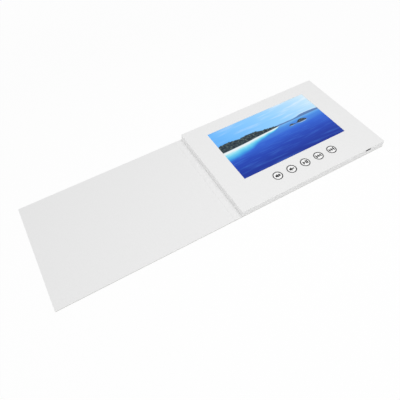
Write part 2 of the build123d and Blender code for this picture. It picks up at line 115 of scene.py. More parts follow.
def add(tree, kind, inputs=None, stops=(), points=(), **settings):
    """Adds one node with its settings and its inputs, each a plain value or another node's output,
    and with the stops of its colour ramp or the points of its curve. Gives back its outputs."""
    node = tree.nodes.new("ShaderNode" + kind)
    for name, value in settings.items():
        setattr(node, name, value)
    for socket, value in (inputs or {}).items():
        if isinstance(value, bpy.types.NodeSocket):
            tree.links.new(value, node.inputs[socket])
        else:
            node.inputs[socket].default_value = value
    for number, (at, colour) in enumerate(stops):
        if number > 1:
            node.color_ramp.elements.new(at)
        node.color_ramp.elements[number].position = at
        node.color_ramp.elements[number].color = linear(colour)
    for number, point in enumerate(points):
        if number > 1:
            node.mapping.curves[0].points.new(*point)
        node.mapping.curves[0].points[number].location = point
    if points:
        node.mapping.update()
    return node.outputs


def blank(name, ior=1.5, metallic=0.0):
    """A new material, with its node tree, its shader and the place on the part."""
    material = bpy.data.materials.new(name)
    material.use_nodes = True
    tree = material.node_tree
    shader = tree.nodes["Principled BSDF"]
    shader.inputs["IOR"].default_value = ior
    shader.inputs["Metallic"].default_value = metallic
    return material, tree, shader, add(tree, "TexCoord")["Object"]


def surface(
    name, colours, grain, roughness, relief, stretch=(1, 1, 1), ior=1.5, metallic=0.0, marks=None
):
    """A finish with a grain. A noise of that size in millimetres moves its colour between two hex
    values, its roughness between two numbers and its height by the relief in millimetres. Marks
    lie over the grain: what draws them, their hex colour, and their height in millimetres."""
    material, tree, shader, place = blank(name, ior, metallic)
    drawn = add(tree, "Mapping", {"Vector": place, "Scale": stretch})["Vector"]
    noise = add(
        tree,
        "TexNoise",
        {
            "Vector": drawn,
            "Scale": grains(grain),
            "Detail": GRAIN_DETAIL,
            "Roughness": GRAIN_FINENESS,
        },
    )["Fac"]
    tint = add(
        tree, "MapRange", {"Value": noise, "From Min": GRAIN_LOW, "From Max": GRAIN_HIGH}
    )["Result"]
    colour = add(
        tree,
        "Mix",
        {FACTOR: tint, FIRST: linear(colours[1]), SECOND: linear(colours[0])},
        data_type="RGBA",
    )[MIXED]
    gloss = add(tree, "MapRange", {"Value": noise, "To Min": roughness[0], "To Max": roughness[1]})
    height = add(
        tree, "Bump", {"Height": noise, "Distance": relief * MM, "Strength": GRAIN_BUMP}
    )["Normal"]
    if marks:
        draw, marks_colour, marks_height = marks
        mask = draw(tree, place)
        colour = add(
            tree,
            "Mix",
            {FACTOR: mask, FIRST: colour, SECOND: linear(marks_colour)},
            data_type="RGBA",
        )[MIXED]
        height = add(
            tree, "Bump", {"Height": mask, "Distance": marks_height * MM, "Normal": height}
        )["Normal"]
    tree.links.new(colour, shader.inputs["Base Color"])
    tree.links.new(gloss["Result"], shader.inputs["Roughness"])
    tree.links.new(height, shader.inputs["Normal"])
    return material


# Calendered white card, matt laminated on the outside: an even, faintly blotched white with a soft
# sheen. Its blotches are 1 to 2 mm, and its fibres are too fine to show.
coated_card = surface("coated_card", ("#F0F0F0", "#EEEEEE"), 1.5, (0.46, 0.54), 0.004)
face_stock = surface("face_card_stock", ("#F1F1F1", "#EFEFEF"), 1.5, (0.44, 0.52), 0.004)

# The same card where it has been creased: its coating is bruised along the fold, so it is duller.
# The real cracks are 0.05 mm wide, too fine to show, and are drawn 0.4 mm wide and 2 mm long.
creased_card = surface(
    "creased_card", ("#F0F0F0", "#EBEBEB"), 0.4, (0.6, 0.7), 0.006, stretch=(1, 0.2, 1)
)


def plies(tree, place):
    """The plies of the board, 0.15 mm each and four to its thickness, as bands along its cut edge."""
    bands = add(
        tree,
        "TexWave",
        {"Vector": place, "Scale": lines(0.15), "Distortion": 1.5, "Detail Scale": 2.0},
        bands_direction="Z",
    )["Fac"]
    strength = 0.35
    return add(tree, "Math", {0: bands, 1: strength}, operation="MULTIPLY")[0]


# Pulp board, pressed in plies and cut with a blade: pale grey and fibrous, with banded edges.
pulp_board = surface(
    "pulp_board", ("#D9D8D4", "#CAC9C4"), 0.5, (0.75, 0.85), 0.01, marks=(plies, "#B4B2AC", 0.01)
)


def cell_walls(tree, place):
    """The walls between the foam's closed cells, which are near 0.6 mm."""
    depth = add(
        tree, "TexVoronoi", {"Vector": place, "Scale": grains(0.6)}, feature="DISTANCE_TO_EDGE"
    )["Distance"]
    reach, strength = 0.12, 0.5
    return add(
        tree, "MapRange", {"Value": depth, "From Max": reach, "To Min": strength, "To Max": 0.0}
    )["Result"]


# Cross-linked polyethylene foam, sliced from a sheet: white and soft to the light, with its cells
# cut open on each face.
packing_foam = surface(
    "packing_foam", ("#F4F4F1", "#E6E6E2"), 0.6, (0.85, 0.95), 0.12, marks=(cell_walls, "#FFFFFF", 0.05)
)

# Tin-plated steel sheet, rolled: a dull silver with streaks 0.25 mm wide along its length.
tray_steel = surface(
    "rolled_tray_steel",
    ("#C9CBCC", "#A9ACAE"),
    0.25,
    (0.28, 0.42),
    0.002,
    stretch=(0.03, 1, 1),
    metallic=1.0,
)


def printed_dots(tree, place):
    """The white dots that spread the light, 0.44 mm wide and 1 mm apart."""
    reach = add(tree, "TexVoronoi", {"Vector": place, "Scale": grains(1.0), "Randomness": 0.0})
    radius = 0.22
    return add(tree, "Math", {0: reach["Distance"], 1: radius}, operation="LESS_THAN")[0]


# Moulded acrylic light guide over a white reflector: smooth, cool white, with printed dots.
light_guide = surface(
    "acrylic_light_guide",
    ("#F4F8FB", "#E9EFF4"),
    4.0,
    (0.18, 0.25),
    0.001,
    ior=1.49,
    marks=(printed_dots, "#FFFFFF", 0.01),
)

# Black acrylic foam tape, slit: dead matt black with a slight crumb.
foam_tape = surface("black_foam_tape", ("#222223", "#141415"), 0.3, (0.8, 0.92), 0.02)

# metal lies where a wave is over this level, which is 44% of the way from one line to the next
METAL_LEVEL = 0.6


def copper_tracks(tree, place):
    """The copper tracks inside the flex, 0.5 mm apart."""
    bands = add(
        tree, "TexWave", {"Vector": place, "Scale": lines(0.5)}, bands_direction="X"
    )["Fac"]
    return add(tree, "Math", {0: bands, 1: METAL_LEVEL}, operation="GREATER_THAN")[0]


# Polyimide flex: clear amber film over copper tracks, which stand up through it a little.
amber_flex = surface(
    "polyimide_flex",
    ("#C27A23", "#A96519"),
    1.0,
    (0.25, 0.35),
    0.002,
    ior=1.7,
    marks=(copper_tracks, "#D99A3C", 0.02),
)

# Moulded liquid-crystal polymer: an even ivory with a dry, slightly waxy surface.
connector_plastic = surface("ivory_connector_lcp", ("#E6DFCB", "#DAD2BB"), 0.4, (0.5, 0.62), 0.006)


def board_tracks(tree, place):
    """The tracks under the solder mask: straight runs 0.2 mm wide and 0.9 mm apart with square
    turns, left out in places. Real ones follow the circuit, and these only fill the board."""
    runs = add(
        tree,
        "TexBrick",
        {
            "Vector": place,
            "Scale": grains(1.0),
            "Mortar Size": 0.1,
            "Mortar Smooth": 0.1,
            "Brick Width": 4.3,
            "Row Height": 0.9,
        },
        offset=0.37,
    )["Fac"]
    patches = add(tree, "TexNoise", {"Vector": place, "Scale": grains(3.5), "Detail": 1.0})["Fac"]
    bare_below = 0.47
    routed = add(tree, "Math", {0: patches, 1: bare_below}, operation="GREATER_THAN")[0]
    return add(tree, "Math", {0: runs, 1: routed}, operation="MULTIPLY")[0]


# Glass-fibre circuit board under green solder mask: a smooth green with raised, paler tracks.
solder_mask = surface(
    "green_solder_mask",
    ("#1F6B3C", "#17572F"),
    1.2,
    (0.25, 0.35),
    0.006,
    marks=(board_tracks, "#2F8A50", 0.03),
)

# Epoxy chip package, moulded: charcoal black with a gritty grain of about 0.12 mm.
chip_epoxy = surface("chip_epoxy", ("#2B2C2E", "#1C1D1F"), 0.12, (0.55, 0.7), 0.008)


def conductors(tree, place):
    """The tinned conductors of the ribbon, 1 mm apart."""
    bands = add(
        tree, "TexWave", {"Vector": place, "Scale": lines(1.0)}, bands_direction="Y"
    )["Fac"]
    return add(tree, "Math", {0: bands, 1: METAL_LEVEL}, operation="GREATER_THAN")[0]


# Flat ribbon cable: white polyester film laminated over tinned conductors, which show through.
white_ribbon = surface(
    "white_ribbon_film",
    ("#ECECE8", "#E2E2DD"),
    1.5,
    (0.35, 0.45),
    0.003,
    ior=1.6,
    marks=(conductors, "#BDBEC0", 0.03),
)

# Stamped steel shell with a drawn grain 0.15 mm wide. Its dark grey is painted shade: the steel is
# coloured as dark as it looks in the shadowed mouth of the socket.
socket_steel = surface(
    "socket_steel_painted_shade",
    ("#3A3A3D", "#2C2C2F"),
    0.15,
    (0.34, 0.46),
    0.002,
    stretch=(1, 0.15, 1),
    metallic=1.0,
)

# Black liquid-crystal polymer inside the socket, moulded: dark and dry.
tongue_plastic = surface("black_tongue_lcp", ("#1D1D1F", "#121214"), 0.3, (0.45, 0.55), 0.004)

# Gold flash over nickel, on stamped contacts: a warm bright metal, drawn along its length.
gold_contact = surface(
    "gold_contact",
    ("#E2BE6B", "#C79F49"),
    0.2,
    (0.18, 0.28),
    0.001,
    stretch=(1, 0.2, 1),
    metallic=1.0,
)

# Black nylon switch body, moulded: slightly silky, with a grain of 0.25 mm.
switch_nylon = surface("black_switch_nylon", ("#28282A", "#1A1A1C"), 0.25, (0.5, 0.62), 0.006)

# Aluminium laminate pouch, heat sealed: silver grey with shallow wrinkles about 5 mm apart.
battery_pouch = surface(
    "laminate_pouch", ("#C6C8CB", "#AEB1B5"), 5.0, (0.3, 0.42), 0.12, metallic=1.0
)

# Polyimide tape wrapped over the battery's small board: clear amber, stretched smooth.
amber_tape = surface("polyimide_tape", ("#D79A2B", "#C08420"), 2.0, (0.2, 0.3), 0.01, ior=1.7)

# Black ABS of the speaker's frame, moulded: satin, with a fine spark-eroded grain.
speaker_abs = surface("speaker_abs", ("#29292B", "#1B1B1D"), 0.35, (0.5, 0.62), 0.01, ior=1.53)

# Nickel plate on a pressed magnet, barrel finished: bright, with a soft haze.
nickel_plate = surface("nickel_plate", ("#D6D4CF", "#BFBDB8"), 0.6, (0.14, 0.24), 0.002, metallic=1.0)


def pressed_rings(tree, place):
    """The rings pressed into the speaker's cone, 1.2 mm apart."""
    centred = add(tree, "Mapping", {"Vector": place, "Location": -(cone_low + cone_high) / 2})
    rings = add(
        tree,
        "TexWave",
        {"Vector": centred["Vector"], "Scale": lines(1.2)},
        wave_type="RINGS",
        rings_direction="Z",
    )["Fac"]
    strength = 0.4
    return add(tree, "Math", {0: rings, 1: strength}, operation="MULTIPLY")[0]


# Polyester film of the speaker's cone, hot pressed: glossy black with shallow rings.
cone_film = surface(
    "pressed_cone_film",
    ("#2A2A2D", "#1B1B1E"),
    0.5,
    (0.28, 0.38),
    0.004,
    ior=1.6,
    marks=(pressed_rings, "#3A3A3E", 0.15),
)

# PVC insulation, extruded: smooth and waxy, faintly uneven along the wire.
red_insulation = surface("red_pvc", ("#C3201B", "#A91712"), 1.5, (0.32, 0.4), 0.01, ior=1.53)
black_insulation = surface("black_pvc", ("#222224", "#161618"), 1.5, (0.32, 0.4), 0.01, ior=1.53)

# White ABS of the buttons, moulded against a spark-eroded face: satin, and whiter than the card.
key_abs = surface("white_key_abs", ("#FDFDFD", "#FAFAFA"), 0.25, (0.36, 0.44), 0.003, ior=1.53)

# Black acetal plunger, moulded: slippery and slightly glossy.
plunger_acetal = surface("black_plunger_acetal", ("#232325", "#171719"), 0.3, (0.38, 0.48), 0.004)

# Black pad-printed ink: a thin matt film whose cover breaks up over 0.12 mm. It mirrors little.
button_ink = surface("black_pad_ink", ("#161618", "#0B0B0D"), 0.12, (0.5, 0.62), 0.003)
button_ink.node_tree.nodes["Principled BSDF"].inputs["Specular IOR Level"].default_value = 0.3

# ---- The lit screen ----
# A liquid-crystal panel under a hard-coated polariser. The picture glows by itself, and the film
# adds only a dim reflection; a painted sheen on the glass, paler towards the top right, is part of
# the picture's sky. Its active area is 7 inches across its corners.

PICTURE_WIDTH = 153.6 * MM
PICTURE_HEIGHT = 90.0 * MM
FOOT_LEDGE = 1.0 * MM
picture_middle = (glass_low + glass_high) / 2 + Vector((0, FOOT_LEDGE, 0))

# heights in the picture, as shares of it from its foot
HORIZON = 0.60
ROCK_LINE = HORIZON - 0.085
BELOW, ABOVE = -1.0, 2.0
SOFT_EDGE = 0.004

# colours along the sky's paling, which is partly hazy air and partly a painted sheen on the glass,
# the depth of the water, the shelf under the lagoon, and the noise of leaves and stone
SKY = [(0.08, "#57A9F6"), (0.30, "#74BDFC"), (0.60, "#93D0FF"), (0.88, "#C3E6FC"), (1.0, "#E2F3FB")]
WATER = [(0.0, "#6DB2EE"), (0.06, "#4A8DE4"), (0.17, "#2F62D2"), (0.34, "#2145B4"), (0.6, "#182F92")]
LAGOON = [(0.0, "#2F6FD8"), (0.35, "#3F9FE6"), (0.7, "#6FD2F0"), (1.0, "#C4F1F7")]
LEAVES = [(0.30, "#18222F"), (0.48, "#2C3A44"), (0.60, "#4B5A58"), (0.75, "#7C8478")]
STONE = [(0.35, "#1F2936"), (0.55, "#46515C"), (0.72, "#8D9598")]

# outlines from the left of the picture to its right, as shares of each form's own height
HILL_LINE = [(0.0, 0.0), (0.46, 0.0), (0.6, 0.30), (0.72, 0.22), (0.86, 0.55), (1.0, 0.35)]
WOOD_CROWN = [
    (0.0, 0.55),
    (0.10, 0.80),
    (0.2, 0.62),
    (0.3, 0.70),
    (0.42, 0.42),
    (0.54, 0.18),
    (0.6, 0.0),
    (1.0, 0.0),
]
SPIT_FOOT = [(0.0, 0.9), (0.2, 0.75), (0.35, 0.42), (0.5, 0.2), (0.62, 0.0), (1.0, 0.0)]
ROCK_BED = [
    (0.0, 0.0),
    (0.64, 0.0),
    (0.68, 0.55),
    (0.72, 0.2),
    (0.775, 1.0),
    (0.83, 0.35),
    (0.86, 0.0),
    (1.0, 0.0),
]

# sky: how far its paling, partly hazy air and partly a painted sheen on the glass, moves along its
# colours across the picture, up it and in its blots; the blots at which cloud begins and is full;
# and its cover at the left and how that grows across
HAZE_AND_SHEEN_ACROSS, HAZE_AND_SHEEN_UP, HAZE_BLOTS = 0.72, 0.35, 0.22
CLOUD_BEGINS, CLOUD_FULL = 0.52, 0.78
CLOUD_AT_LEFT, CLOUD_ACROSS = 0.15, 0.75

# water: how widely the waves spread and how many rows they make, each with what is added to the
# depth so that it stays finite at the horizon; how far blots and waves move the depth along its
# colours, and how far it is moved back; and where on a wave a crest begins and is full, and its
# cover
WAVE_SPREAD, SPREAD_AT_HORIZON = 2.4, 0.12
WAVE_ROWS, ROWS_AT_HORIZON = 13.0, 0.03
SWELL_BLOTS, SWELL_WAVES, SWELL_SHIFT = 0.16, 0.05, 0.10
CREST_BEGINS, CREST_FULL, CREST_COVER = 0.50, 0.72, 0.30

# far hills: their height, what their blots add to it, and how far their foot is under the horizon
HILL_RISE, HILL_BLOTS, HILL_SUNK = 0.055, 0.07, 0.002

# wooded spit: how sharply it ends at its tip; its height, that of the tree tops on it, and how far
# they start under the horizon; how far down its foot lies, the sand's edge wanders below that, and
# the sand and the shelf go on from there; how weed blots the shelf; and how thickly the lagoon
# covers the open water
TIP_SHARPNESS = 12.0
WOOD_RISE, TREE_TOPS, TREES_SUNK = 0.13, 0.05, 0.020
WOOD_DROP, SHORE_WANDER, SAND_DROP = 0.050, 0.03, 0.028
SHELF_GAP, SHELF_DROP = 0.004, 0.19
WEED_LEAST, WEED_BLOTS = 0.75, 0.5
LAGOON_COVER = 3.0

# bare rocks: their height, how ragged it is, and how far it starts under their line; how far their
# foot and then their surf drop; the bed at which the surf is thickest, and its cover there; and
# the bed from which stone shows
ROCK_RISE, ROCK_RAGGED, ROCK_SUNK = 0.033, 0.044, 0.005
ROCK_DROP = 0.012
SURF_FULL, SURF_COVER = 0.117, 0.7
STONE_FROM = 0.02


def shore_picture(tree, place):
    """The colours of a made-up shore: sky, far hills, open water, a wooded spit and two rocks."""
    across_up = add(
        tree,
        "Mapping",
        {
            "Vector": place,
            "Scale": (1 / PICTURE_WIDTH, 1 / PICTURE_HEIGHT, 0),
            "Location": (
                0.5 - picture_middle.x / PICTURE_WIDTH,
                0.5 - picture_middle.y / PICTURE_HEIGHT,
                0,
            ),
        },
    )["Vector"]
    axes = add(tree, "SeparateXYZ", {"Vector": across_up})
    across, up = axes["X"], axes["Y"]

    def blots(width, height, detail=4.0):
        """Blots over the picture, that wide and high in shares of it."""
        stretched = add(tree, "Mapping", {"Vector": across_up, "Scale": (1 / width, 1 / height, 1)})
        return add(
            tree, "TexNoise", {"Vector": stretched["Vector"], "Scale": 1.0, "Detail": detail}
        )["Fac"]

    def paint(picture, colour, low, high, cover=1.0):
        """Paints a colour over the picture between two heights, as thickly as its cover says."""
        over = add(tree, "Math", {0: up, 1: low}, operation="SUBTRACT")[0]
        under = add(tree, "Math", {0: high, 1: up}, operation="SUBTRACT")[0]
        over = add(
            tree, "MapRange", {"Value": over, "From Min": -SOFT_EDGE, "From Max": SOFT_EDGE}
        )["Result"]
        under = add(
            tree, "MapRange", {"Value": under, "From Min": -SOFT_EDGE, "From Max": SOFT_EDGE}
        )["Result"]
        band = add(tree, "Math", {0: over, 1: under}, operation="MULTIPLY")[0]
        thickness = add(tree, "Math", {0: band, 1: cover}, operation="MULTIPLY")[0]
        if isinstance(colour, str):
            colour = linear(colour)
        return add(
            tree, "Mix", {FACTOR: thickness, FIRST: picture, SECOND: colour}, data_type="RGBA"
        )[MIXED]

    # sky: deeper at the left and paler towards the top right, which is partly hazy air and partly a
    # painted sheen on the glass, with thin high cloud
    rise = add(tree, "Math", {0: up, 1: HORIZON}, operation="SUBTRACT")[0]
    haze_and_sheen = add(tree, "Math", {0: across, 1: HAZE_AND_SHEEN_ACROSS}, operation="MULTIPLY")[0]
    haze_and_sheen = add(
        tree, "Math", {0: blots(0.5, 0.12), 1: HAZE_BLOTS, 2: haze_and_sheen}, operation="MULTIPLY_ADD"
    )[0]
    haze_and_sheen = add(tree, "Math", {0: rise, 1: HAZE_AND_SHEEN_UP, 2: haze_and_sheen}, operation="MULTIPLY_ADD")[0]
    sky = add(tree, "ValToRGB", {"Fac": haze_and_sheen}, stops=SKY)["Color"]
    cloud = add(
        tree,
        "MapRange",
        {"Value": blots(0.30, 0.07, 7.0), "From Min": CLOUD_BEGINS, "From Max": CLOUD_FULL},
    )["Result"]
    drift = add(
        tree, "Math", {0: across, 1: CLOUD_ACROSS, 2: CLOUD_AT_LEFT}, operation="MULTIPLY_ADD"
    )[0]
    cloud = add(tree, "Math", {0: cloud, 1: drift}, operation="MULTIPLY")[0]
    picture = paint(sky, "#F2F9FE", BELOW, ABOVE, cloud)

    # water: pale at the horizon, then deep blue, with waves that widen towards the viewer
    depth = add(tree, "Math", {0: HORIZON, 1: up}, operation="SUBTRACT")[0]
    near = add(tree, "Math", {0: depth, 1: 0.0}, operation="MAXIMUM")[0]
    sideways = add(
        tree, "Math", {0: across, 1: WAVE_SPREAD, 2: -WAVE_SPREAD / 2}, operation="MULTIPLY_ADD"
    )[0]
    reach = add(tree, "Math", {0: near, 1: SPREAD_AT_HORIZON}, operation="ADD")[0]
    sideways = add(tree, "Math", {0: sideways, 1: reach}, operation="DIVIDE")[0]
    outwards = add(tree, "Math", {0: near, 1: ROWS_AT_HORIZON}, operation="ADD")[0]
    outwards = add(tree, "Math", {0: outwards, 1: math.e}, operation="LOGARITHM")[0]
    outwards = add(tree, "Math", {0: outwards, 1: WAVE_ROWS}, operation="MULTIPLY")[0]
    wave_place = add(tree, "CombineXYZ", {"X": sideways, "Y": outwards})["Vector"]
    waves = add(tree, "TexNoise", {"Vector": wave_place, "Scale": 1.0, "Detail": 5.0})["Fac"]
    swell = add(
        tree, "Math", {0: blots(0.45, 0.10), 1: SWELL_BLOTS, 2: depth}, operation="MULTIPLY_ADD"
    )[0]
    swell = add(tree, "Math", {0: swell, 1: SWELL_SHIFT}, operation="SUBTRACT")[0]
    swell = add(tree, "Math", {0: waves, 1: SWELL_WAVES, 2: swell}, operation="MULTIPLY_ADD")[0]
    water = add(tree, "ValToRGB", {"Fac": swell}, stops=WATER)["Color"]
    crests = add(
        tree,
        "MapRange",
        {
            "Value": waves,
            "From Min": CREST_BEGINS,
            "From Max": CREST_FULL,
            "To Max": CREST_COVER,
        },
    )["Result"]
    picture = paint(picture, water, BELOW, HORIZON)
    picture = paint(picture, "#4E8BEA", BELOW, HORIZON, crests)

    # far hills: low, blue with distance, along the right half of the horizon
    hill_line = add(tree, "FloatCurve", {"Value": across}, points=HILL_LINE)["Value"]
    hill_foot = HORIZON - HILL_SUNK
    hill_height = add(
        tree, "Math", {0: blots(0.06, 10.0), 1: HILL_BLOTS, 2: HILL_RISE}, operation="MULTIPLY_ADD"
    )[0]
    hill_line = add(
        tree, "Math", {0: hill_line, 1: hill_height, 2: hill_foot}, operation="MULTIPLY_ADD"
    )[0]
    picture = paint(picture, "#5B7EB4", hill_foot, hill_line)

    # wooded spit: from the left edge to past the middle and low at its tip, with a pale shore
    # and a lagoon over its shelf
    crown = add(tree, "FloatCurve", {"Value": across}, points=WOOD_CROWN)["Value"]
    foot = add(tree, "FloatCurve", {"Value": across}, points=SPIT_FOOT)["Value"]
    ashore = add(
        tree, "Math", {0: foot, 1: TIP_SHARPNESS}, operation="MULTIPLY", use_clamp=True
    )[0]
    tree_tops = add(tree, "Math", {0: blots(0.02, 10.0, 6.0), 1: ashore}, operation="MULTIPLY")[0]
    tree_tops = add(
        tree,
        "Math",
        {0: tree_tops, 1: TREE_TOPS, 2: HORIZON - TREES_SUNK},
        operation="MULTIPLY_ADD",
    )[0]
    wood_top = add(
        tree, "Math", {0: crown, 1: WOOD_RISE, 2: tree_tops}, operation="MULTIPLY_ADD"
    )[0]
    wood_foot = add(tree, "Math", {0: foot, 1: -WOOD_DROP, 2: HORIZON}, operation="MULTIPLY_ADD")[0]
    wander = add(tree, "Math", {0: blots(0.07, 10.0), 1: ashore}, operation="MULTIPLY")[0]
    wander = add(
        tree, "Math", {0: wander, 1: -SHORE_WANDER, 2: wood_foot}, operation="MULTIPLY_ADD"
    )[0]
    sand_foot = add(tree, "Math", {0: foot, 1: -SAND_DROP, 2: wander}, operation="MULTIPLY_ADD")[0]
    shelf_foot = add(tree, "Math", {0: sand_foot, 1: SHELF_GAP}, operation="SUBTRACT")[0]
    shelf_foot = add(
        tree, "Math", {0: foot, 1: -SHELF_DROP, 2: shelf_foot}, operation="MULTIPLY_ADD"
    )[0]
    shelf = add(
        tree, "MapRange", {"Value": up, "From Min": shelf_foot, "From Max": sand_foot}
    )["Result"]
    weed = add(
        tree,
        "Math",
        {0: blots(0.10, 0.03, 5.0), 1: WEED_BLOTS, 2: WEED_LEAST},
        operation="MULTIPLY_ADD",
    )[0]
    shelf = add(tree, "Math", {0: shelf, 1: weed}, operation="MULTIPLY")[0]
    shelf = add(tree, "Math", {0: shelf, 1: ashore}, operation="MULTIPLY")[0]
    lagoon = add(tree, "ValToRGB", {"Fac": shelf}, stops=LAGOON)["Color"]
    over_shelf = add(
        tree, "Math", {0: shelf, 1: LAGOON_COVER}, operation="MULTIPLY", use_clamp=True
    )[0]
    picture = paint(picture, lagoon, BELOW, wood_foot, over_shelf)
    picture = paint(picture, "#E9F1F3", sand_foot, wood_foot, ashore)
    leaves = add(tree, "ValToRGB", {"Fac": blots(0.022, 0.026, 6.0)}, stops=LEAVES)["Color"]
    picture = paint(picture, leaves, wood_foot, wood_top)

    # bare rocks off the tip of the spit, with surf at their foot
    rock_bed = add(tree, "FloatCurve", {"Value": across}, points=ROCK_BED)["Value"]
    ragged = add(
        tree,
        "Math",
        {0: blots(0.015, 10.0, 6.0), 1: ROCK_RAGGED, 2: ROCK_RISE},
        operation="MULTIPLY_ADD",
    )[0]
    rock_top = add(
        tree, "Math", {0: rock_bed, 1: ragged, 2: ROCK_LINE - ROCK_SUNK}, operation="MULTIPLY_ADD"
    )[0]
    rock_foot = add(
        tree, "Math", {0: rock_bed, 1: -ROCK_DROP, 2: ROCK_LINE}, operation="MULTIPLY_ADD"
    )[0]
    surf_foot = add(
        tree, "Math", {0: rock_bed, 1: -ROCK_DROP, 2: rock_foot}, operation="MULTIPLY_ADD"
    )[0]
    surf = add(
        tree, "MapRange", {"Value": rock_bed, "From Max": SURF_FULL, "To Max": SURF_COVER}
    )["Result"]
    picture = paint(picture, "#C9E6F8", surf_foot, rock_foot, surf)
    stone = add(tree, "ValToRGB", {"Fac": blots(0.018, 0.022, 5.0)}, stops=STONE)["Color"]
    bare = add(tree, "Math", {0: rock_bed, 1: STONE_FROM}, operation="GREATER_THAN")[0]
    return paint(picture, stone, rock_foot, rock_top, bare)


lit_screen, screen_tree, screen_shader, screen_place = blank("lit_lcd_glass")
screen_shader.inputs["Base Color"].default_value = linear("#050507")
screen_shader.inputs["Roughness"].default_value = 0.22
screen_shader.inputs["Specular IOR Level"].default_value = 0.1
screen_shader.inputs["Emission Strength"].default_value = 1.0
screen_tree.links.new(
    shore_picture(screen_tree, screen_place), screen_shader.inputs["Emission Color"]
)

# ---- The finish of each piece that the frame brings ----

FINISHES = {
    "base_wrap": coated_card,
    "spine_wrap": coated_card,
    "cover_wrap": coated_card,
    "spine_lining": coated_card,
    "cover_lining": coated_card,
    "face_card": face_stock,
    "base_board": pulp_board,
    "spine_board": pulp_board,
    "cover_board": pulp_board,
    "lower_foam": packing_foam,
    "upper_foam": packing_foam,
    "screen_tray": tray_steel,
    "backlight": light_guide,
    "screen_glass": lit_screen,
    "screen_tape": foam_tape,
    "screen_flex": amber_flex,
    "screen_connector": connector_plastic,
    "main_board": solder_mask,
    "key_board": solder_mask,
    "main_chip": chip_epoxy,
    "memory_chip": chip_epoxy,
    "lid_sensor": chip_epoxy,
    "key_ribbon": white_ribbon,
    "usb_socket": socket_steel,
    "usb_tongue": tongue_plastic,
    "usb_contacts": gold_contact,
    "key_switches": switch_nylon,
    "battery": battery_pouch,
    "battery_board": amber_tape,
    "speaker_basket": speaker_abs,
    "speaker_magnet": nickel_plate,
    "speaker_cone": cone_film,
    "cover_magnet": nickel_plate,
    "battery_lead_positive": red_insulation,
    "speaker_lead_positive": red_insulation,
    "battery_lead_negative": black_insulation,
    "speaker_lead_negative": black_insulation,
}
for key in KEYS:
    FINISHES[f"{key}_key"] = key_abs
    FINISHES[f"{key}_plunger"] = plunger_acetal

for name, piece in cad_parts.items():
    piece.data.materials.clear()
    piece.data.materials.append(FINISHES[name])

# ---- Making new pieces ----

ABOUT_NOTHING = 0.01 * MM
DOWNWARDS, BOTH_WAYS = -1, 0


def begin(piece, name):
    """Names a new primitive, gives its place to its mesh, and opens it for editing."""
    piece.name = name
    piece.data.name = name
    bpy.ops.object.transform_apply(location=True, rotation=True, scale=True)
    bpy.ops.object.mode_set(mode="EDIT")
    bpy.ops.mesh.select_all(action="DESELECT")


def pick(piece, kind, test):
    """Selects the verts or the edges of the piece being edited that pass a test."""
    modes = {"verts": "VERT", "edges": "EDGE"}
    bpy.ops.mesh.select_mode(type=modes[kind])
    bpy.ops.mesh.select_all(action="DESELECT")
    mesh = bmesh.from_edit_mesh(piece.data)
    for element in getattr(mesh, kind):
        if test(element):
            element.select_set(True)
    mesh.select_flush_mode()
    bmesh.update_edit_mesh(piece.data)


def end(piece, material):
    """Closes the edit, turns the faces outwards, and gives the piece its finish."""
    bpy.ops.mesh.select_all(action="SELECT")
    bpy.ops.mesh.normals_make_consistent(inside=False)
    bpy.ops.object.mode_set(mode="OBJECT")
    piece.data.materials.clear()
    piece.data.materials.append(material)


def thicken(piece, thickness, way):
    """Gives a flat sheet its thickness, for good, downwards or both ways from where it lies."""
    wall = piece.modifiers.new("thickness", "SOLIDIFY")
    wall.thickness = thickness
    wall.offset = way
    bpy.ops.object.select_all(action="DESELECT")
    piece.select_set(True)
    bpy.context.view_layer.objects.active = piece
    bpy.ops.object.modifier_apply(modifier=wall.name)


def another(piece, name, shift):
    """A copy of a finished piece, with its own mesh, moved along."""
    twin = piece.copy()
    twin.data = piece.data.copy()
    twin.name = name
    twin.data.name = name
    bpy.context.scene.collection.objects.link(twin)
    twin.data.transform(Matrix.Translation(shift))
    return twin


def runs_across(edge):
    """True for an edge that runs from the cover towards the panel."""
    way = edge.verts[1].co - edge.verts[0].co
    return abs(way.x) > abs(way.y) and abs(way.x) > abs(way.z)


# ---- The creases ----
# The wrap runs on round the outside of each fold, and the lining dips into the groove inside it.
# Both creases are alike: the one at the panel is modelled, and the one at the cover is its copy.

WRAP_BEND_CUTS = 11
GROOVE_DIP = 0.15 * MM
GROOVE_ROUNDING = 0.2 * MM
GROOVE_FACETS = 8
GROOVE_SIDE_CUTS = 4
ROUND_PROFILE = 0.5
# the groove's two flat sides are longer than a sixth of its width, and its facets are shorter
LEAST_SIDE = 1 / 6
SMOOTH_BELOW = math.radians(40)
LINING_SKIN = 0.12 * MM
WRAP_TOP = spine_wrap_high.z
LINING_TOP = spine_high.z
TO_COVER_CREASE = Vector((cover_high.x - spine_high.x, 0, 0))
crease_depth = panel_high.y - panel_low.y
crease_middle_y = (panel_low.y + panel_high.y) / 2


def outer_crease(name, left, right):
    """The strip of wrap between two pieces of it, at the outside of the crease, cut into narrow bands
    along it.
    """
    bpy.ops.object.select_all(action="DESELECT")
    bpy.ops.mesh.primitive_cube_add(
        size=1, location=((left + right) / 2, crease_middle_y, WRAP_TOP / 2)
    )
    strip = bpy.context.active_object
    strip.scale = (right - left, crease_depth, WRAP_TOP)
    begin(strip, name)
    pick(strip, "edges", runs_across)
    bpy.ops.mesh.subdivide(number_cuts=WRAP_BEND_CUTS)
    end(strip, coated_card)
    return strip


